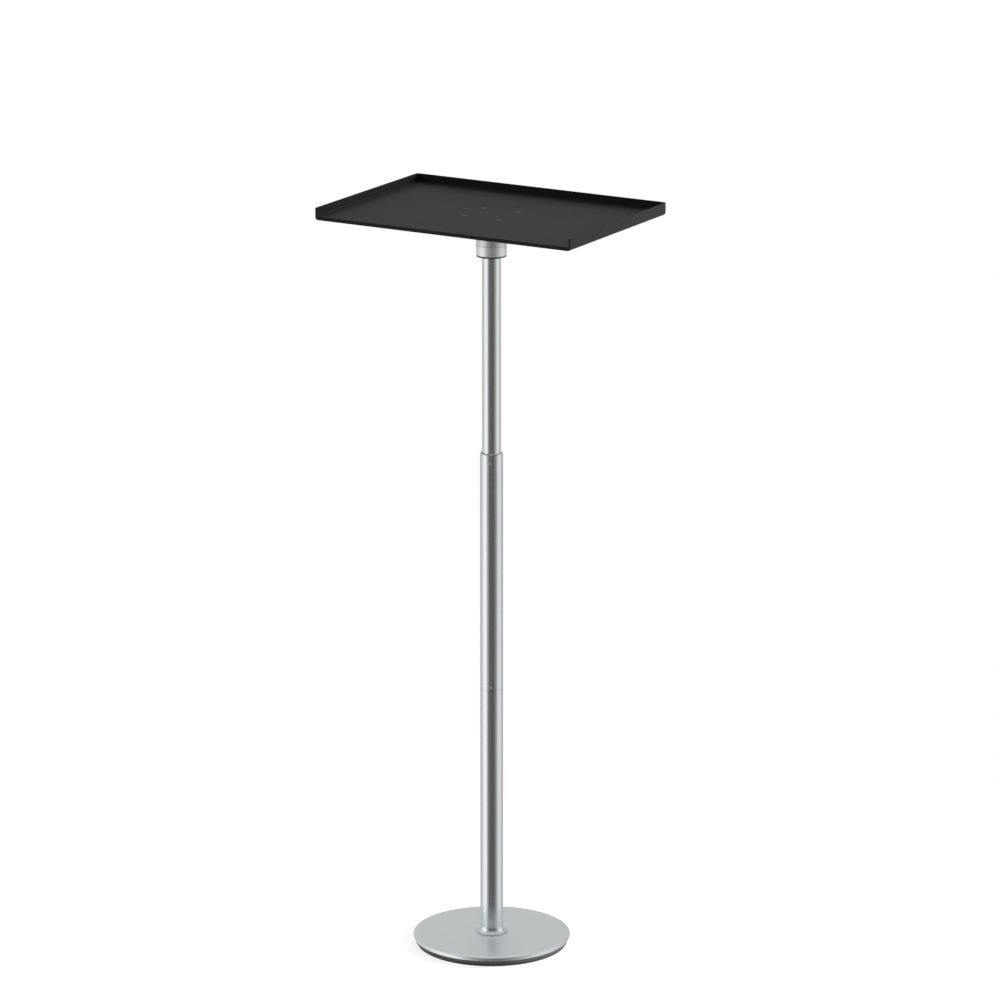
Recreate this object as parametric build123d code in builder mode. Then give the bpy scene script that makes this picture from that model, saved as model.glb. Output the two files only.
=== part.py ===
from build123d import *
import os
from math import cos, radians, sin

os.makedirs("parts", exist_ok=True)

# Portable projector stand: a round weighted base, a telescopic pole and a tray.
# Millimetres. The floor is Z = 0, the pole stands on the Z axis, and the open
# front of the tray faces -Y. The pole is drawn out to its full height.

# Fits between pieces
slip = 0.05  # radial gap of pieces that are fixed in each other
run = 0.05  # radial gap of pieces that slide or turn
play = 0.1  # gap along the axis where pieces turn on each other
stop_gap = 0.3  # gap between the slide's two stop faces at full height

# Base: spun cover over an iron weight, on a rubber pad
base_diameter = 220.0
cover_height = 6.4
cover_wall = 2.0
cover_edge = 3.0  # outer radius of the cover's rounded edge
cover_taper = 1.0  # the cover's lip ends this far inside its widest ring
weight_gap = 0.3  # between the weight and the cover's lip
weight_chamfer = 1.2
skirt_height = 5.6  # band of the weight that shows under the cover
skirt_step = 0.5
skirt_taper = 2.0
pad_height = 3.3
pad_step = 0.7
pad_taper = 1.1
pad_edge = 0.8
pad_ring_width = 66.0

# Bolt that holds the pole on the base
base_bolt_diameter = 10.0
base_bolt_head_diameter = 17.0
base_bolt_head_height = 5.0
base_bolt_key = 8.0  # across the flats of the hexagon socket
base_bolt_key_depth = 3.5
base_bolt_grip = 25.0  # length screwed into the foot insert
base_washer_diameter = 26.0
base_washer_thickness = 1.5
bolt_hole_gap = 0.5  # radial gap round the bolt in the base
recess_margin = 6.0  # finger room round the washer, under the weight
weight_web = 5.3  # iron above the bolt's recess

# Pole: two outer sections, end to end, and an upper tube that slides in them
upper_tube_diameter = 26.0
tube_wall = 1.5
bush_wall = 1.4
lower_tube_length = 357.8
middle_tube_length = 338.1
upper_tube_reach = 277.0  # bare length of the upper tube above the mouth
seam_chamfer = 0.3
mouth_chamfer = 0.7
ferrule_height = 11.5
ferrule_flare = 4.3
ferrule_lip = 0.2  # thickness of the ferrule's upper edge
ferrule_land = 1.2
ferrule_chamfer = 0.4
foot_insert_length = 40.0
joiner_lower_length = 35.0
joiner_upper_length = 22.0
joiner_bore = 16.0
plug_chamfer = 1.0
bush_length = 30.0
bush_recess = 0.2  # the bush sits this far below the mouth
shoe_length = 25.0
shoe_spigot_length = 18.0

# Hexagon-socket set screws that fix the foot insert, the joiner and the bush
set_screw_diameter = 4.0
set_screw_length = 5.0
set_screw_key = 2.0
set_screw_key_depth = 1.2
set_screw_sink = 0.15  # depth of its end under the tube's surface
set_screw_turn = 23.0  # degrees from the front towards +X
foot_screw_height = 25.0  # above the base
joiner_screw_height = 4.5  # above the seam
bush_screw_depth = 12.3  # below the mouth
bush_screw_tip_gap = 0.25  # keeps its tip off the upper tube

# Head: flanged hub that turns on the top of the upper tube, in a plastic bush
hub_bush_wall = 1.5
hub_bush_flange = 1.8  # thickness of the dark ring under the hub
hub_bush_step = 0.4  # the ring is this much smaller than the hub, in radius
hub_wall = 6.4
hub_height = 54.3
hub_rim = 0.6
hub_cone = 9.0  # height and width of the cone between the hub and its flange
flange_diameter = 100.0
flange_thickness = 5.0
flange_chamfer = 1.5
web_thickness = 8.0
thrust_washer_thickness = 1.0
head_plug_length = 28.0
swivel_shoulder_diameter = 10.0
swivel_thread_diameter = 8.0
swivel_thread_length = 20.0
swivel_head_diameter = 16.0
swivel_head_height = 6.0
swivel_key = 6.0
swivel_key_depth = 3.5
swivel_head_room = 1.5  # space round and over the bolt's head

# Tray: one moulding with three raised lips, an open front and a ribbed underside
tray_width = 397.0
tray_depth = 270.0
floor_thickness = 2.6
rim_depth = 5.2  # from the floor's upper face to the underside of the rim
rim_width = 9.0
rim_round = 4.0  # outside, along the lower edges of the sides and the back
lip_rise = 12.0  # of the lips above the floor
lip_wall = 2.5  # thickness of the lips at the floor
lip_draft = 2.0  # degrees that the lips' inner faces lean back
lip_fillet = 1.5  # between the lips and the floor
lip_round = 0.8  # along the top of the lips
corner_round = 5.0  # outside, at the two back corners
front_round = 0.6  # round the front face
rib_width = 2.0
rib_count = 8
seat_gap = 1.0  # between the ring rib and the hub's flange
recess_corner = 6.0
tray_screw_count = 4
tray_screw_circle = 76.0
tray_screw_diameter = 3.5
tray_screw_head_height = 2.0
tray_screw_key = 2.5
tray_screw_key_depth = 1.2
tray_screw_sink = 0.1  # depth of its head under the tray's floor
tray_hole_gap = 0.1
tray_screw_end_gap = 0.6  # from the screw's end to the flange's underside

# Radii that follow from the sizes above
upper_radius = upper_tube_diameter / 2
upper_bore_radius = upper_radius - tube_wall
pole_bore_radius = upper_radius + run + bush_wall + slip
pole_radius = pole_bore_radius + tube_wall
base_radius = base_diameter / 2
cover_lip_radius = base_radius - cover_taper
weight_radius = cover_lip_radius - cover_wall - weight_gap
skirt_radius = cover_lip_radius - skirt_step
skirt_foot_radius = skirt_radius - skirt_taper
pad_radius = skirt_foot_radius - pad_step
pad_foot_radius = pad_radius - pad_taper
base_hole_radius = base_bolt_diameter / 2 + bolt_hole_gap
recess_radius = base_washer_diameter / 2 + recess_margin
hub_socket_radius = upper_radius + run + hub_bush_wall + slip
hub_radius = hub_socket_radius + hub_wall
flange_radius = flange_diameter / 2
seat_radius = flange_radius + seat_gap
tray_hole_radius = tray_screw_diameter / 2 + tray_hole_gap
tray_sink_radius = tray_hole_radius + tray_screw_head_height

# Levels that follow from the sizes above
cover_level = pad_height + skirt_height
base_top = cover_level + cover_height
weight_top = base_top - cover_wall
recess_top = weight_top - weight_web
seam_level = base_top + lower_tube_length
mouth_level = seam_level + middle_tube_length
bush_top = mouth_level - bush_recess
bush_level = bush_top - bush_length
upper_tube_level = bush_level - stop_gap
hub_bush_level = mouth_level + upper_tube_reach
hub_level = hub_bush_level + hub_bush_flange
tray_level = hub_level + hub_height
counterbore_depth = swivel_head_height + swivel_head_room
counterbore_level = tray_level - counterbore_depth
web_level = counterbore_level - web_thickness
thrust_washer_level = web_level - play - thrust_washer_thickness
upper_tube_top = thrust_washer_level
flange_level = tray_level - flange_thickness
tray_floor = tray_level + floor_thickness
rim_level = tray_floor - rim_depth
foot_screw_level = base_top + foot_screw_height
joiner_screw_level = seam_level + joiner_screw_height
bush_screw_level = mouth_level - bush_screw_depth


def set_screw_plane(level):
    """Plane across a set screw's outer end, facing out from the pole."""
    outward = Vector(sin(radians(set_screw_turn)), -cos(radians(set_screw_turn)), 0)
    middle = outward * (pole_radius - set_screw_sink) + Vector(0, 0, level)
    return Plane(origin=middle, x_dir=(0, 0, 1), z_dir=outward)


def cut_set_screw_hole(level, depth):
    """Cuts a set screw's hole in the piece that is being made, from outside the pole."""
    with BuildSketch(set_screw_plane(level).offset(tube_wall)) as outline:
        Circle(set_screw_diameter / 2 + slip)
    extrude(outline.sketch, amount=-(tube_wall + depth + slip), mode=Mode.SUBTRACT)


def cut_key(plane, key, depth):
    """Cuts a hexagon socket into a screw's head, down from the plane of its top."""
    with BuildSketch(plane) as outline:
        RegularPolygon(key / 2, side_count=6, major_radius=False)
    extrude(outline.sketch, amount=-depth, mode=Mode.SUBTRACT)


# Rubber ring that the base stands on
with BuildPart() as base_pad:
    with BuildSketch(Plane.XZ):
        with BuildLine():
            Polyline(
                (pad_foot_radius - pad_ring_width, 0),
                (pad_foot_radius, 0),
                (pad_radius, pad_height),
                (pad_foot_radius - pad_ring_width, pad_height),
                close=True,
            )
        make_face()
    revolve(axis=Axis.Z)
    chamfer(base_pad.faces().sort_by(Axis.Z)[0].edges(), pad_edge)
base_pad.part.label = "base_pad"
export_step(base_pad.part, "parts/base_pad.step")

# Iron weight: its skirt shows as a dark band, its upper step fills the cover
with BuildPart() as base_weight:
    with BuildSketch(Plane.XZ):
        with BuildLine():
            Polyline(
                (base_hole_radius, recess_top),
                (recess_radius, recess_top),
                (recess_radius, pad_height),
                (skirt_foot_radius, pad_height),
                (skirt_radius, cover_level),
                (weight_radius, cover_level),
                (weight_radius, weight_top - weight_chamfer),
                (weight_radius - weight_chamfer, weight_top),
                (base_hole_radius, weight_top),
                close=True,
            )
        make_face()
    revolve(axis=Axis.Z)
base_weight.part.label = "base_weight"
export_step(base_weight.part, "parts/base_weight.step")

# Spun cover with a rounded edge and a lip that leans inwards
with BuildPart() as base_cover:
    with BuildSketch(Plane.XZ):
        with BuildLine():
            top_outside = Line((base_hole_radius, base_top), (base_radius - cover_edge, base_top))
            edge_outside = JernArc(top_outside @ 1, (1, 0), cover_edge, -90)
            Polyline(
                edge_outside @ 1,
                (cover_lip_radius, cover_level),
                (cover_lip_radius - cover_wall, cover_level),
                (base_radius - cover_wall, base_top - cover_edge),
                (base_radius - cover_edge, weight_top),
                (base_hole_radius, weight_top),
                top_outside @ 0,
            )
        make_face()
    revolve(axis=Axis.Z)
base_cover.part.label = "base_cover"
export_step(base_cover.part, "parts/base_cover.step")

# Washer and socket-head bolt, put in from below
with BuildPart() as base_washer:
    with BuildSketch(Plane.XY.offset(recess_top)):
        Circle(base_washer_diameter / 2)
        Circle(base_hole_radius, mode=Mode.SUBTRACT)
    extrude(amount=-base_washer_thickness)
base_washer.part.label = "base_washer"
export_step(base_washer.part, "parts/base_washer.step")

with BuildPart() as base_bolt:
    head_level = recess_top - base_washer_thickness
    with BuildSketch(Plane.XY.offset(head_level)):
        Circle(base_bolt_head_diameter / 2)
    extrude(amount=-base_bolt_head_height)
    with BuildSketch(Plane.XY.offset(head_level)):
        Circle(base_bolt_diameter / 2)
    extrude(amount=base_top + base_bolt_grip - head_level)
    key_plane = Plane((0, 0, head_level - base_bolt_head_height), z_dir=(0, 0, -1))
    cut_key(key_plane, base_bolt_key, base_bolt_key_depth)
base_bolt.part.label = "base_bolt"
export_step(base_bolt.part, "parts/base_bolt.step")

# Flared ferrule round the foot of the pole: a trumpet-shaped cove over a short land
with BuildPart() as foot_ferrule:
    with BuildSketch(Plane.XZ):
        with BuildLine():
            bore = pole_radius + slip
            top_radius = bore + ferrule_lip
            flare_radius = top_radius + ferrule_flare
            rim = Polyline(
                (top_radius, base_top + ferrule_height),
                (bore, base_top + ferrule_height),
                (bore, base_top),
                (flare_radius, base_top),
                (flare_radius, base_top + ferrule_land - ferrule_chamfer),
                (flare_radius - ferrule_chamfer, base_top + ferrule_land),
            )
            TangentArc(rim @ 0, rim @ 1, tangent=(0, -1))
        make_face()
    revolve(axis=Axis.Z)
foot_ferrule.part.label = "foot_ferrule"
export_step(foot_ferrule.part, "parts/foot_ferrule.step")

# Threaded insert in the foot of the pole
with BuildPart() as foot_insert:
    with BuildSketch(Plane.XY.offset(base_top)):
        Circle(pole_bore_radius - slip)
        Circle(base_bolt_diameter / 2 + slip, mode=Mode.SUBTRACT)
    extrude(amount=foot_insert_length)
    chamfer(foot_insert.faces().sort_by(Axis.Z)[-1].outer_wire().edges(), plug_chamfer)
    cut_set_screw_hole(foot_screw_level, set_screw_length)
foot_insert.part.label = "foot_insert"
export_step(foot_insert.part, "parts/foot_insert.step")

# Lower and middle sections of the pole, which meet at a fine seam
with BuildPart() as lower_tube:
    with BuildSketch(Plane.XY.offset(base_top)):
        Circle(pole_radius)
        Circle(pole_bore_radius, mode=Mode.SUBTRACT)
    extrude(amount=lower_tube_length)
    chamfer(lower_tube.faces().sort_by(Axis.Z)[-1].outer_wire().edges(), seam_chamfer)
    cut_set_screw_hole(foot_screw_level, set_screw_length)
lower_tube.part.label = "lower_tube"
export_step(lower_tube.part, "parts/lower_tube.step")

with BuildPart() as middle_tube:
    with BuildSketch(Plane.XY.offset(seam_level)):
        Circle(pole_radius)
        Circle(pole_bore_radius, mode=Mode.SUBTRACT)
    extrude(amount=middle_tube_length)
    chamfer(middle_tube.faces().sort_by(Axis.Z)[0].outer_wire().edges(), seam_chamfer)
    chamfer(middle_tube.faces().sort_by(Axis.Z)[-1].outer_wire().edges(), mouth_chamfer)
    cut_set_screw_hole(joiner_screw_level, set_screw_length)
    cut_set_screw_hole(bush_screw_level, set_screw_length)
middle_tube.part.label = "middle_tube"
export_step(middle_tube.part, "parts/middle_tube.step")

# Joiner inside the seam
with BuildPart() as tube_joiner:
    with BuildSketch(Plane.XY.offset(seam_level - joiner_lower_length)):
        Circle(pole_bore_radius - slip)
        Circle(joiner_bore / 2, mode=Mode.SUBTRACT)
    extrude(amount=joiner_lower_length + joiner_upper_length)
    ends = tube_joiner.faces().filter_by(Axis.Z)
    chamfer([end.outer_wire().edge() for end in ends], plug_chamfer)
    cut_set_screw_hole(joiner_screw_level, set_screw_length)
tube_joiner.part.label = "tube_joiner"
export_step(tube_joiner.part, "parts/tube_joiner.step")

# Guide bush in the mouth of the middle tube
with BuildPart() as guide_bush:
    with BuildSketch(Plane.XY.offset(bush_level)):
        Circle(pole_bore_radius - slip)
        Circle(upper_radius + run, mode=Mode.SUBTRACT)
    extrude(amount=bush_length)
    cut_set_screw_hole(bush_screw_level, set_screw_length)
guide_bush.part.label = "guide_bush"
export_step(guide_bush.part, "parts/guide_bush.step")

# Set screws, each flush with the pole
bush_screw_tip = upper_radius + run + bush_screw_tip_gap
bush_screw_length = pole_radius - set_screw_sink - bush_screw_tip
set_screws = {
    "foot_set_screw": (foot_screw_level, set_screw_length),
    "joiner_set_screw": (joiner_screw_level, set_screw_length),
    "bush_set_screw": (bush_screw_level, bush_screw_length),
}
for screw_name, (screw_level, screw_length) in set_screws.items():
    with BuildPart() as set_screw:
        with BuildSketch(set_screw_plane(screw_level)):
            Circle(set_screw_diameter / 2)
        extrude(amount=-screw_length)
        cut_key(set_screw_plane(screw_level), set_screw_key, set_screw_key_depth)
    set_screw.part.label = screw_name
    export_step(set_screw.part, f"parts/{screw_name}.step")

# Upper tube, from its stop under the bush to the hub
with BuildPart() as upper_tube:
    with BuildSketch(Plane.XY.offset(upper_tube_level)):
        Circle(upper_radius)
        Circle(upper_bore_radius, mode=Mode.SUBTRACT)
    extrude(amount=upper_tube_top - upper_tube_level)
upper_tube.part.label = "upper_tube"
export_step(upper_tube.part, "parts/upper_tube.step")

# Guide shoe: a spigot in the upper tube over a skirt that runs in the middle tube
with BuildPart() as guide_shoe:
    with BuildSketch(Plane.XZ):
        with BuildLine():
            shoe_radius = pole_bore_radius - run
            shoe_level = upper_tube_level - shoe_length
            spigot_radius = upper_bore_radius - slip
            spigot_top = upper_tube_level + shoe_spigot_length
            Polyline(
                (0, shoe_level),
                (shoe_radius - plug_chamfer, shoe_level),
                (shoe_radius, shoe_level + plug_chamfer),
                (shoe_radius, upper_tube_level),
                (spigot_radius, upper_tube_level),
                (spigot_radius, spigot_top),
                (0, spigot_top),
                close=True,
            )
        make_face()
    revolve(axis=Axis.Z)
guide_shoe.part.label = "guide_shoe"
export_step(guide_shoe.part, "parts/guide_shoe.step")

# Threaded plug in the top of the upper tube
with BuildPart() as head_plug:
    with BuildSketch(Plane.XY.offset(upper_tube_top)):
        Circle(upper_bore_radius - slip)
        Circle(swivel_thread_diameter / 2 + slip, mode=Mode.SUBTRACT)
    extrude(amount=-head_plug_length)
    chamfer(head_plug.faces().sort_by(Axis.Z)[0].outer_wire().edges(), plug_chamfer)
head_plug.part.label = "head_plug"
export_step(head_plug.part, "parts/head_plug.step")

# Thrust washer that the hub turns on
with BuildPart() as thrust_washer:
    with BuildSketch(Plane.XY.offset(thrust_washer_level)):
        Circle(upper_radius - run)
        Circle(swivel_shoulder_diameter / 2 + slip, mode=Mode.SUBTRACT)
    extrude(amount=thrust_washer_thickness)
thrust_washer.part.label = "thrust_washer"
export_step(thrust_washer.part, "parts/thrust_washer.step")

# Shoulder bolt that holds the hub down on the pole and lets it turn
with BuildPart() as swivel_bolt:
    swivel_head_level = counterbore_level + play
    with BuildSketch(Plane.XY.offset(upper_tube_top)):
        Circle(swivel_shoulder_diameter / 2)
    extrude(amount=swivel_head_level - upper_tube_top)
    with BuildSketch(Plane.XY.offset(upper_tube_top)):
        Circle(swivel_thread_diameter / 2)
    extrude(amount=-swivel_thread_length)
    with BuildSketch(Plane.XY.offset(swivel_head_level)):
        Circle(swivel_head_diameter / 2)
    extrude(amount=swivel_head_height)
    cut_key(Plane.XY.offset(swivel_head_level + swivel_head_height), swivel_key, swivel_key_depth)
swivel_bolt.part.label = "swivel_bolt"
export_step(swivel_bolt.part, "parts/swivel_bolt.step")

# Flanged bush in the hub, which runs on the upper tube and shows as a dark ring under the hub
with BuildPart() as hub_bush:
    with BuildSketch(Plane.XZ):
        with BuildLine():
            ring_radius = hub_radius - hub_bush_step
            sleeve_radius = hub_socket_radius - slip
            Polyline(
                (upper_radius + run, hub_bush_level),
                (ring_radius, hub_bush_level),
                (ring_radius, hub_level),
                (sleeve_radius, hub_level),
                (sleeve_radius, upper_tube_top),
                (upper_radius + run, upper_tube_top),
                close=True,
            )
        make_face()
    revolve(axis=Axis.Z)
hub_bush.part.label = "hub_bush"
export_step(hub_bush.part, "parts/hub_bush.step")

# Hub: a collar that spreads through a cone into a round flange under the tray
with BuildPart() as tray_hub:
    with BuildSketch(Plane.XZ):
        with BuildLine():
            counterbore_radius = swivel_head_diameter / 2 + swivel_head_room
            pivot_radius = swivel_shoulder_diameter / 2 + run
            Polyline(
                (hub_socket_radius, hub_level),
                (hub_radius - hub_rim, hub_level),
                (hub_radius, hub_level + hub_rim),
                (hub_radius, flange_level - hub_cone),
                (hub_radius + hub_cone, flange_level),
                (flange_radius - flange_chamfer, flange_level),
                (flange_radius, flange_level + flange_chamfer),
                (flange_radius, tray_level),
                (counterbore_radius, tray_level),
                (counterbore_radius, counterbore_level),
                (pivot_radius, counterbore_level),
                (pivot_radius, web_level),
                (hub_socket_radius, web_level),
                close=True,
            )
        make_face()
    revolve(axis=Axis.Z)
    with Locations((0, 0, tray_level)):
        with PolarLocations(tray_screw_circle / 2, tray_screw_count, start_angle=45):
            Hole(tray_screw_diameter / 2 + slip, depth=flange_thickness * 2)
tray_hub.part.label = "tray_hub"
export_step(tray_hub.part, "parts/tray_hub.step")

# The space between the tray's lips: open in front, wider at the top by the draft
tray_front = -tray_depth / 2
with BuildPart() as tray_bay:
    bay_back = tray_depth / 2 - lip_wall
    bay_front = tray_front - 2 * lip_rise
    with BuildSketch(Plane((0, (bay_front + bay_back) / 2, tray_floor))):
        bay_outline = Rectangle(tray_width - 2 * lip_wall, bay_back - bay_front)
        fillet(bay_outline.vertices().group_by(Axis.Y)[-1], corner_round - lip_wall)
    extrude(amount=2 * lip_rise, taper=-lip_draft)
    floor_edges = tray_bay.faces().sort_by(Axis.Z)[0].edges().sort_by(Axis.Y)[1:]
    fillet(floor_edges, lip_fillet)

# Tray: lips with draft round a flat floor, on a rim with ribs that run to the hub's seat
with BuildPart() as tray:
    with BuildSketch(Plane.XY.offset(rim_level)):
        tray_outline = Rectangle(tray_width, tray_depth)
        fillet(tray_outline.vertices().group_by(Axis.Y)[-1], corner_round)
    extrude(amount=rim_depth + lip_rise)
    fillet(tray.faces().sort_by(Axis.Z)[0].edges().sort_by(Axis.Y)[1:], rim_round)
    add(tray_bay.part, mode=Mode.SUBTRACT)
    lip_edges = tray.faces().sort_by(Axis.Z)[-1].edges()
    fillet(lip_edges.filter_by(lambda edge: edge.center().Y > tray_front + lip_wall), lip_round)
    fillet(tray.faces().sort_by(Axis.Y)[0].edges(), front_round)
    with BuildSketch(Plane.XY.offset(rim_level)) as recess:
        RectangleRounded(tray_width - 2 * rim_width, tray_depth - 2 * rim_width, recess_corner)
        Circle(seat_radius + rib_width, mode=Mode.SUBTRACT)
        with PolarLocations(0, rib_count // 2, angular_range=180):
            Rectangle(tray_width + tray_depth, rib_width, mode=Mode.SUBTRACT)
        Circle(seat_radius)
    extrude(recess.sketch, amount=rim_depth - floor_thickness, mode=Mode.SUBTRACT)
    with Locations((0, 0, tray_floor)):
        with PolarLocations(tray_screw_circle / 2, tray_screw_count, start_angle=45):
            CounterSinkHole(tray_hole_radius, tray_sink_radius, 2 * floor_thickness, 90)
tray.part.label = "tray"
export_step(tray.part, "parts/tray.step")

# Countersunk screws that hold the tray on the hub's flange
tray_screw_radius = tray_screw_diameter / 2
tray_screw_top = tray_floor - tray_screw_sink
tray_screw_points = PolarLocations(tray_screw_circle / 2, tray_screw_count, start_angle=45)
for number, place in enumerate(tray_screw_points, start=1):
    screw_axis = Axis(place.position, (0, 0, 1))
    with BuildPart() as tray_screw:
        with BuildSketch(Plane(place.position, x_dir=(1, 0, 0), z_dir=(0, -1, 0))):
            with BuildLine():
                Polyline(
                    (0, tray_screw_top),
                    (tray_screw_radius + tray_screw_head_height - tray_screw_sink, tray_screw_top),
                    (tray_screw_radius, tray_floor - tray_screw_head_height),
                    (tray_screw_radius, flange_level + tray_screw_end_gap),
                    (0, flange_level + tray_screw_end_gap),
                    close=True,
                )
            make_face()
        revolve(axis=screw_axis)
        cut_key(Plane(place.position).offset(tray_screw_top), tray_screw_key, tray_screw_key_depth)
    tray_screw.part.label = f"tray_screw_{number}"
    export_step(tray_screw.part, f"parts/tray_screw_{number}.step")
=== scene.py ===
# Looks of a portable projector stand: a round weighted base, a telescopic pole of satin
# aluminium and a black tray. Metres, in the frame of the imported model: floor at Z = 0, pole
# on the Z axis, open front of the tray towards -Y.

import math

import bmesh
import bpy
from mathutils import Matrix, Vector


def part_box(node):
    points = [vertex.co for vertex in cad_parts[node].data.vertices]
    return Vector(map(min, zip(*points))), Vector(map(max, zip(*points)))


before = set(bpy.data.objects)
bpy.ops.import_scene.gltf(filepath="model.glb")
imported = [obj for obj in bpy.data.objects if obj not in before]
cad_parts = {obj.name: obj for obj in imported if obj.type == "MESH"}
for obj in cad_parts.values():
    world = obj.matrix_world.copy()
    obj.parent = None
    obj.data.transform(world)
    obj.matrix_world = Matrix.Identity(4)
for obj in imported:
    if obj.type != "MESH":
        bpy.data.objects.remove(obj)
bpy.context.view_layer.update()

# Camera, as the photograph was taken
camera_azimuth = math.radians(30.06)
camera_elevation = math.radians(14.96)
camera_distance = 7.80
camera_aim = Vector((0.0101, 0.0058, 0.6435))
camera_lens = 203.6  # millimetres, as is the sensor
camera_sensor = 36.0


class Socket:
    """An output in a node tree. Arithmetic on it adds Math nodes."""

    def __init__(self, nodes, output):
        self.nodes = nodes
        self.output = output

    def __add__(self, other):
        return self.nodes.maths("ADD", self, other)

    def __radd__(self, other):
        return self.nodes.maths("ADD", other, self)

    def __sub__(self, other):
        return self.nodes.maths("SUBTRACT", self, other)

    def __rsub__(self, other):
        return self.nodes.maths("SUBTRACT", other, self)

    def __mul__(self, other):
        return self.nodes.maths("MULTIPLY", self, other)

    def __rmul__(self, other):
        return self.nodes.maths("MULTIPLY", other, self)


class NodeTree:
    """The nodes of a finish, a stage surface or the world."""

    def __init__(self, owner):
        owner.use_nodes = True
        self.tree = owner.node_tree
        self.tree.nodes.clear()

    def node(self, kind, settings=None, inputs=None, output=0):
        """Adds a node, with its settings first and then its sockets' values or links."""
        made = self.tree.nodes.new(kind)
        for name, value in (settings or {}).items():
            if name == "stops":
                self.set_stops(made.color_ramp, value)
            else:
                setattr(made, name, value)
        for name, value in (inputs or {}).items():
            if isinstance(value, Socket):
                self.tree.links.new(value.output, made.inputs[name])
            else:
                made.inputs[name].default_value = value
        return Socket(self, made.outputs[output]) if made.outputs else None

    def set_stops(self, ramp, stops):
        """Gives a ramp its stops, each a position and a grey tone."""
        while len(ramp.elements) < len(stops):
            ramp.elements.new(1.0)
        for element, (position, tone) in zip(ramp.elements, stops):
            element.position = position
            element.color = (tone, tone, tone, 1)

    def maths(self, operation, *values):
        return self.node("ShaderNodeMath", {"operation": operation}, dict(enumerate(values)))

    def vectors(self, operation, *values, output=0):
        inputs = dict(enumerate(values))
        return self.node("ShaderNodeVectorMath", {"operation": operation}, inputs, output)

    def place(self):
        return self.node("ShaderNodeTexCoord", output="Object")

    def along(self, place, axis):
        """How far a place lies along X, Y or Z."""
        return self.node("ShaderNodeSeparateXYZ", None, {0: place}, output=axis)

    def from_axis(self, place):
        """The level line from the Z axis."""
        return self.vectors("MULTIPLY", place, (1, 1, 0))

    def radius(self, place):
        """Distance from the Z axis."""
        return self.vectors("LENGTH", self.from_axis(place), output="Value")

    def outward(self, place):
        """Direction straight away from the Z axis."""
        return self.vectors("NORMALIZE", self.from_axis(place))

    def facing(self):
        """The surface's own direction."""
        return self.node("ShaderNodeNewGeometry", output="Normal")

    def mapped(self, place, **inputs):
        """A place that is stretched or turned, for a pattern."""
        return self.node("ShaderNodeMapping", {"vector_type": "POINT"}, {"Vector": place, **inputs})

    def noise(self, place, scale, detail):
        inputs = {"Vector": place, "Scale": scale, "Detail": detail}
        return self.node("ShaderNodeTexNoise", None, inputs)

    def step(self, value, start, end, low=0.0, high=1.0):
        """A smooth step from low to high, as the value goes from start to end."""
        limits = {"From Min": start, "From Max": end, "To Min": low, "To Max": high}
        settings = {"interpolation_type": "SMOOTHSTEP"}
        return self.node("ShaderNodeMapRange", settings, {"Value": value, **limits})

    def blend(self, factor, first, second):
        """A colour between two colours. The Mix node's colours are sockets 6, 7 and output 2."""
        inputs = {"Factor": factor, 6: self.colour(first), 7: self.colour(second)}
        return self.node("ShaderNodeMix", {"data_type": "RGBA"}, inputs, output=2)

    def between(self, factor, first, second):
        """A direction between two directions. The Mix node's vectors are sockets 4, 5 and output 1."""
        inputs = {"Factor": factor, 4: first, 5: second}
        return self.node("ShaderNodeMix", {"data_type": "VECTOR"}, inputs, output=1)

    def colour(self, value):
        return value if isinstance(value, Socket) else (*value, 1)

    def bump(self, height, depth, facing=None):
        """Relief of the given depth, on the surface's own direction or on another one."""
        inputs = {"Height": height, "Distance": depth, "Strength": 1.0}
        if facing:
            inputs["Normal"] = facing
        return self.node("ShaderNodeBump", None, inputs)

    def surface(self, **inputs):
        """A Principled surface. An underscore in a name stands for a space."""
        sockets = {name.replace("_", " "): value for name, value in inputs.items()}
        shader = self.node("ShaderNodeBsdfPrincipled", None, sockets)
        self.node("ShaderNodeOutputMaterial", None, {"Surface": shader})


def new_finish(name):
    material = bpy.data.materials.new(name)
    return material, NodeTree(material)


# The seam between the two outer tubes is burnished flush, with a faint shade along it
seam_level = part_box("lower_tube")[1].z
seam_burnish = 0.0006
seam_shade_reach = 0.0035
seam_shade = (0.10, 0.10, 0.10)
seam_clear = 0.91  # share of the tube's own colour at the seam


def tube_aluminium():
    """Drawn and anodised tube, satin, with fine lines along its length."""
    material, nodes = new_finish("drawn_anodised_tube")
    place = nodes.place()
    lines = nodes.noise(nodes.mapped(place, Scale=(1.0, 1.0, 0.01)), scale=2400.0, detail=3.0)
    grain = nodes.noise(place, scale=6500.0, detail=1.0)
    cloud = nodes.noise(nodes.mapped(place, Scale=(1.0, 1.0, 0.25)), scale=34.0, detail=2.0)
    silver = nodes.blend(0.6 * lines + 0.4 * cloud, (0.77, 0.81, 0.825), (0.84, 0.88, 0.895))
    off_seam = nodes.maths("ABSOLUTE", nodes.along(place, "Z") - seam_level)
    clear = nodes.step(off_seam, 0.0, seam_shade_reach, low=seam_clear, high=1.0)
    burnished = nodes.step(off_seam, seam_burnish, 2 * seam_burnish, low=1.0, high=0.0)
    facing = nodes.between(burnished, nodes.facing(), nodes.outward(place))
    nodes.surface(
        Base_Color=nodes.blend(clear, seam_shade, silver),
        Metallic=1.0,
        Roughness=0.20 + 0.06 * lines + 0.04 * cloud,
        Normal=nodes.bump(0.7 * lines + 0.3 * grain, depth=0.000004, facing=facing),
    )
    return material


# The foot ring has painted shade, a dark line where it meets the base, for the shadow in that crease.
# Heights are above the base.
foot_low, foot_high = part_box("foot_ferrule")
foot_ring_shade_height = 0.0004
foot_ring_unshaded_height = 0.0014
foot_ring_shade_grey = (0.42, 0.44, 0.445)


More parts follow.
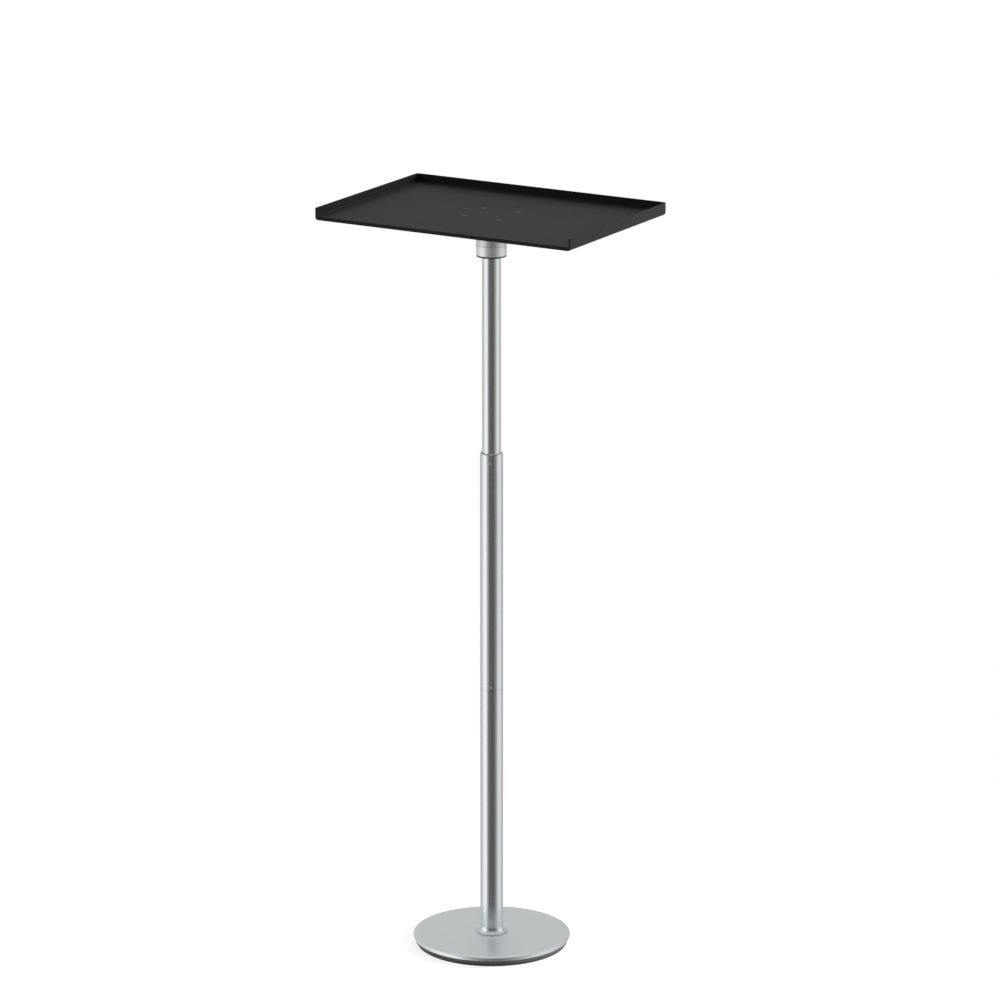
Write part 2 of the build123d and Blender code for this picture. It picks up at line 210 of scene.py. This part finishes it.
def polished_foot():
    """Turned and polished ring at the foot of the pole."""
    material, nodes = new_finish("polished_foot_ring")
    place = nodes.place()
    turned = nodes.noise(nodes.mapped(place, Scale=(0.02, 0.02, 1.0)), scale=5000.0, detail=2.0)
    silver = nodes.blend(turned, (0.78, 0.82, 0.835), (0.84, 0.88, 0.895))
    level = nodes.along(place, "Z")
    # painted shade: the ring is darker at its very bottom, where it meets the base
    unshaded = nodes.step(level, foot_low.z + foot_ring_shade_height, foot_low.z + foot_ring_unshaded_height)
    nodes.surface(
        Base_Color=nodes.blend(unshaded, foot_ring_shade_grey, silver),
        Metallic=1.0,
        Roughness=0.20 + 0.06 * turned,
        Normal=nodes.bump(turned, depth=0.000004),
    )
    return material


# Painted shade: the base is a little darker close round the foot of the pole, where the pole shades it
foot_radius = foot_high.x
foot_shade_reach = 0.005
foot_shade = (0.70, 0.74, 0.75)


def satin_silver():
    """Spun, bead-blasted and anodised, satin silver grey."""
    material, nodes = new_finish("blasted_satin_silver")
    place = nodes.place()
    radius = nodes.radius(place)
    turned = nodes.node(
        "ShaderNodeTexNoise",
        {"noise_dimensions": "1D"},
        {"W": radius, "Scale": 900.0, "Detail": 3.0},
    )
    grain = nodes.noise(place, scale=5200.0, detail=2.0)
    cloud = nodes.noise(place, scale=26.0, detail=3.0)
    silver = nodes.blend(0.5 * cloud + 0.5 * turned, (0.86, 0.905, 0.915), (0.93, 0.965, 0.975))
    # painted shade round the foot of the pole
    clear = nodes.step(radius, foot_radius, foot_radius + foot_shade_reach)
    nodes.surface(
        Base_Color=nodes.blend(clear, foot_shade, silver),
        Metallic=1.0,
        Roughness=0.36 + 0.05 * turned + 0.05 * cloud,
        Normal=nodes.bump(0.75 * grain + 0.25 * turned, depth=0.000008),
    )
    return material


# The upper part of the collar has fine turned rings, from a height above its lower end, with painted
# shade in their grooves
ring_height = 0.0105
ring_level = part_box("tray_hub")[0].z + ring_height
ring_pitch = 0.0028
ring_depth = 0.00015
ring_crest = (0.4, 0.9)  # where on a sine wave a ring starts and is fully cut
ring_groove_shade_grey = (0.30, 0.30, 0.30)


def matt_silver():
    """Matt silver of the hub, a little warmer than the tubes."""
    material, nodes = new_finish("matt_warm_silver")
    place = nodes.place()
    grain = nodes.noise(place, scale=4200.0, detail=2.0)
    cloud = nodes.noise(place, scale=60.0, detail=2.0)
    level = nodes.along(place, "Z")
    wave = nodes.maths("SINE", (level - ring_level) * (math.tau / ring_pitch))
    ringed_part = nodes.step(level, ring_level, ring_level + ring_pitch)
    turned = nodes.step(wave, *ring_crest) * ringed_part
    silver = nodes.blend(cloud, (0.94, 0.94, 0.93), (0.98, 0.98, 0.97))
    nodes.surface(
        # painted shade in the grooves of the rings
        Base_Color=nodes.blend(0.5 * turned, silver, ring_groove_shade_grey),
        Metallic=1.0,
        Roughness=0.44 + 0.06 * cloud,
        Normal=nodes.bump(0.06 * grain - turned, depth=ring_depth),
    )
    return material


def textured_black():
    """Moulded black plastic of the tray, with a fine sandy texture."""
    material, nodes = new_finish("textured_black_moulding")
    place = nodes.place()
    sand = nodes.noise(place, scale=1500.0, detail=2.0)
    peel = nodes.noise(place, scale=420.0, detail=1.0)
    cloud = nodes.noise(place, scale=18.0, detail=3.0)
    black = nodes.blend(0.5 * cloud + 0.5 * sand, (0.007, 0.007, 0.0072), (0.012, 0.012, 0.0122))
    nodes.surface(
        Base_Color=black,
        Roughness=0.50 + 0.10 * sand + 0.06 * cloud,
        Specular_IOR_Level=0.15,
        Normal=nodes.bump(0.6 * sand + 0.4 * peel, depth=0.00006),
    )
    return material


def dark_iron():
    """Dark grey paint on cast iron."""
    material, nodes = new_finish("painted_cast_iron")
    place = nodes.place()
    cast = nodes.noise(place, scale=700.0, detail=3.0)
    cloud = nodes.noise(place, scale=40.0, detail=2.0)
    nodes.surface(
        Base_Color=nodes.blend(cloud, (0.042, 0.047, 0.049), (0.056, 0.062, 0.063)),
        Roughness=0.45 + 0.15 * cast,
        Normal=nodes.bump(cast, depth=0.00005),
    )
    return material


def black_rubber():
    """Moulded rubber, dull, with a faint bloom."""
    material, nodes = new_finish("moulded_rubber")
    place = nodes.place()
    bloom = nodes.noise(place, scale=55.0, detail=4.0)
    grain = nodes.noise(place, scale=2200.0, detail=2.0)
    nodes.surface(
        Base_Color=nodes.blend(bloom, (0.022, 0.024, 0.025), (0.034, 0.037, 0.037)),
        Roughness=0.72 + 0.12 * bloom,
        Normal=nodes.bump(grain, depth=0.00004),
    )
    return material


def zinc_steel():
    """Bright zinc on steel screws, with a faint spangle."""
    material, nodes = new_finish("zinc_plated_steel")
    place = nodes.place()
    spangle = nodes.noise(place, scale=900.0, detail=3.0)
    nodes.surface(
        Base_Color=nodes.blend(spangle, (0.62, 0.64, 0.66), (0.74, 0.76, 0.78)),
        Metallic=0.94,
        Roughness=0.50 + 0.14 * spangle,
        Normal=nodes.bump(spangle, depth=0.000015),
    )
    return material


def plain_aluminium():
    """Turned aluminium of the inner plugs."""
    material, nodes = new_finish("turned_aluminium")
    place = nodes.place()
    turned = nodes.noise(nodes.mapped(place, Scale=(0.05, 0.05, 1.0)), scale=3200.0, detail=2.0)
    nodes.surface(
        Base_Color=nodes.blend(turned, (0.70, 0.71, 0.72), (0.80, 0.81, 0.82)),
        Metallic=1.0,
        Roughness=0.30 + 0.10 * turned,
        Normal=nodes.bump(turned, depth=0.000012),
    )
    return material


def black_plastic():
    """Moulded black plastic of the sliding pieces."""
    material, nodes = new_finish("moulded_black_plastic")
    place = nodes.place()
    grain = nodes.noise(place, scale=2600.0, detail=2.0)
    nodes.surface(
        Base_Color=nodes.blend(grain, (0.020, 0.020, 0.021), (0.032, 0.032, 0.033)),
        Roughness=0.42 + 0.12 * grain,
        Normal=nodes.bump(grain, depth=0.00002),
    )
    return material


def grey_acetal():
    """Grey moulding in the mouth of the middle tube."""
    material, nodes = new_finish("grey_acetal")
    place = nodes.place()
    grain = nodes.noise(place, scale=2400.0, detail=2.0)
    nodes.surface(
        Base_Color=nodes.blend(grain, (0.26, 0.27, 0.27), (0.32, 0.33, 0.33)),
        Roughness=0.40 + 0.10 * grain,
        Normal=nodes.bump(grain, depth=0.00002),
    )
    return material


def black_steel():
    """Black oxide on the tray's screws."""
    material, nodes = new_finish("black_oxide_steel")
    place = nodes.place()
    cloud = nodes.noise(place, scale=700.0, detail=3.0)
    nodes.surface(
        Base_Color=nodes.blend(cloud, (0.022, 0.022, 0.024), (0.05, 0.05, 0.052)),
        Metallic=0.6,
        Roughness=0.34 + 0.14 * cloud,
        Normal=nodes.bump(cloud, depth=0.00001),
    )
    return material


# Finishes by the slot of a node
finishes = {
    "tube_aluminium": tube_aluminium(),
    "satin_silver": satin_silver(),
    "matt_silver": matt_silver(),
    "textured_black": textured_black(),
    "dark_iron": dark_iron(),
    "black_rubber": black_rubber(),
    "zinc_steel": zinc_steel(),
    "plain_aluminium": plain_aluminium(),
    "black_plastic": black_plastic(),
    "black_steel": black_steel(),
}

# Two nodes have a finish of their own instead
own_finishes = {
    "foot_ferrule": polished_foot(),
    "guide_bush": grey_acetal(),
}

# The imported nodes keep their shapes
for name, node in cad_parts.items():
    slot = node.material_slots[0]
    slot.material = own_finishes.get(name) or finishes[slot.material.name]


# Stage: a pale floor, a light tent, lamps and a white room
white = (1, 1, 1, 1)


def stage_surface(name, bm, material):
    mesh = bpy.data.meshes.new(name)
    bm.to_mesh(mesh)
    bm.free()
    made = bpy.data.objects.new(name, mesh)
    made.data.materials.append(material)
    bpy.context.scene.collection.objects.link(made)
    return made


def seen_directly(nodes):
    """1 for rays from the camera, and for those that a mirror or glass sends on."""
    from_camera = nodes.node("ShaderNodeLightPath", output="Is Camera Ray")
    from_mirror = nodes.node("ShaderNodeLightPath", output="Is Glossy Ray")
    from_glass = nodes.node("ShaderNodeLightPath", output="Is Transmission Ray")
    return nodes.maths("MINIMUM", from_camera + from_mirror + from_glass, 1.0)


# Floor: pale where the base stands, with the stand's shadow, and white further off
floor_reach = 60.0
floor_sides = 96
floor_colour = (0.93, 0.93, 0.93, 1)
floor_glow = 0.84  # share of plain white that the floor shows where it is in shadow
shadow_near = 0.30
shadow_far = 1.10


def pale_floor():
    material, nodes = new_finish("pale_floor")
    radius = nodes.radius(nodes.place())
    whiter = nodes.step(radius, shadow_near, shadow_far, low=floor_glow, high=1.0)
    lit = nodes.node("ShaderNodeBsdfDiffuse", None, {"Color": floor_colour})
    plain = nodes.node("ShaderNodeEmission", None, {"Color": white, "Strength": 1.0})
    share = whiter * seen_directly(nodes)
    shown = nodes.node("ShaderNodeMixShader", None, {0: share, 1: lit, 2: plain})
    nodes.node("ShaderNodeOutputMaterial", None, {"Surface": shown})
    bm = bmesh.new()
    bmesh.ops.create_circle(bm, cap_ends=True, radius=floor_reach, segments=floor_sides)
    floor = stage_surface("floor", bm, material)
    floor.visible_glossy = False


pale_floor()

# Light tent: what the metal shows. A dark strip faces the camera, so that the tubes get
# a dark band between two bright ones. Tones go once round, from behind by the left.
tent_radius = 2.2
tent_sides = 128
tent_bottom = -6.0
tent_top = 6.0
tent_tones = [
    (0.00, 0.54),
    (0.08, 0.55),
    (0.13, 0.62),
    (0.17, 0.53),
    (0.22, 0.74),
    (0.27, 1.05),
    (0.345, 1.12),
    (0.38, 0.40),
    (0.43, 0.12),
    (0.57, 0.10),
    (0.63, 0.32),
    (0.69, 0.80),
    (0.77, 0.86),
    (0.83, 0.46),
    (1.00, 0.54),
]
tent_knee_level = -4.4  # below it the tent gets dark: painted shade in the reflections, for the floor's shadow close to the base
tent_foot_tone = 0.08
tent_eaves_level = 0.80
tent_roof_level = 1.45  # above it the tent is evenly pale
tent_roof_tone = 0.58
tent_front_roof_tone = 0.50
tent_front_angle = (0.7, 1.3)  # radians to either side, where the front of the roof ends


def light_tent():
    material, nodes = new_finish("tent_cloth")
    turned = nodes.mapped(nodes.place(), Rotation=(0, 0, -camera_azimuth))
    sideways = nodes.along(turned, "X")
    behind = nodes.along(turned, "Y")
    level = nodes.along(turned, "Z")
    angle = nodes.maths("ARCTAN2", sideways, -1 * behind)
    share_of_turn = 0.5 + angle * (1 / math.tau)
    tone = nodes.node("ShaderNodeValToRGB", {"stops": tent_tones}, {"Fac": share_of_turn})
    aside = nodes.maths("ABSOLUTE", angle)
    roof_tone = nodes.step(aside, *tent_front_angle, low=tent_front_roof_tone, high=tent_roof_tone)
    roof = nodes.step(level, tent_eaves_level, tent_roof_level)
    # painted shade: the tent's low part is dark, for the floor's shadow near the base as the metal
    # sees it
    walls = nodes.step(level, tent_bottom, tent_knee_level)
    upper = tone * (1 - roof) + roof_tone * roof
    shown = upper * walls + tent_foot_tone * (1 - walls)
    cloth = nodes.node("ShaderNodeEmission", None, {"Color": shown, "Strength": 1.0})
    nodes.node("ShaderNodeOutputMaterial", None, {"Surface": cloth})
    bm = bmesh.new()
    bmesh.ops.create_circle(bm, cap_ends=True, radius=tent_radius, segments=tent_sides)
    wall = bmesh.ops.extrude_edge_only(bm, edges=bm.edges[:])
    raised = [item for item in wall["geom"] if isinstance(item, bmesh.types.BMVert)]
    bmesh.ops.translate(bm, verts=raised, vec=(0, 0, tent_top - tent_bottom))
    bmesh.ops.translate(bm, verts=bm.verts[:], vec=(0, 0, tent_bottom))
    tent = stage_surface("light_tent", bm, material)
    tent.visible_camera = False
    tent.visible_diffuse = False
    tent.visible_shadow = False
    tent.visible_transmission = False


light_tent()


def direction(azimuth, elevation):
    """Away from the stand, from -Y round to +X and up."""
    level = math.cos(elevation)
    return Vector((math.sin(azimuth) * level, -math.cos(azimuth) * level, math.sin(elevation)))


# Lamps: a softbox on each side and one over the tray. They give the soft shade on painted
# surfaces and the shadow, and the tent stands for them in the metal.
lamp_aim = Vector((0, 0, 0.55))


def softbox(name, azimuth, elevation, distance, size, power):
    """Area lamp at an angle from the camera, positive to the right of the picture."""
    away = direction(camera_azimuth + math.radians(azimuth), math.radians(elevation))
    lamp = bpy.data.lights.new(name, "AREA")
    lamp.shape = "RECTANGLE"
    lamp.size, lamp.size_y = size
    lamp.energy = power
    made = bpy.data.objects.new(name, lamp)
    made.location = lamp_aim + away * distance
    made.rotation_euler = away.to_track_quat("Z", "Y").to_euler()
    made.visible_camera = False
    made.visible_glossy = False
    bpy.context.scene.collection.objects.link(made)


softbox("left_softbox", azimuth=-70, elevation=12, distance=2.4, size=(1.2, 2.2), power=14)
softbox("right_softbox", azimuth=95, elevation=15, distance=2.4, size=(1.2, 2.2), power=205)
softbox("top_softbox", azimuth=170, elevation=68, distance=2.6, size=(2.0, 2.0), power=50)

# Room: white all round for the eye and in reflections, and a softer fill for shading
world_fill = 0.35


def white_world():
    world = bpy.data.worlds.new("white_room")
    bpy.context.scene.world = world
    nodes = NodeTree(world)
    strength = world_fill + (1 - world_fill) * seen_directly(nodes)
    room = nodes.node("ShaderNodeBackground", None, {"Color": white, "Strength": strength})
    nodes.node("ShaderNodeOutputWorld", None, {"Surface": room})


white_world()


def photo_camera():
    lens = bpy.data.cameras.new("photo_camera")
    lens.lens = camera_lens
    lens.sensor_width = camera_sensor
    camera = bpy.data.objects.new("photo_camera", lens)
    away = direction(camera_azimuth, camera_elevation)
    camera.location = camera_aim + away * camera_distance
    camera.rotation_euler = (-away).to_track_quat("-Z", "Y").to_euler()
    bpy.context.scene.collection.objects.link(camera)
    bpy.context.scene.camera = camera


photo_camera()
bpy.context.scene.view_settings.view_transform = "Standard"
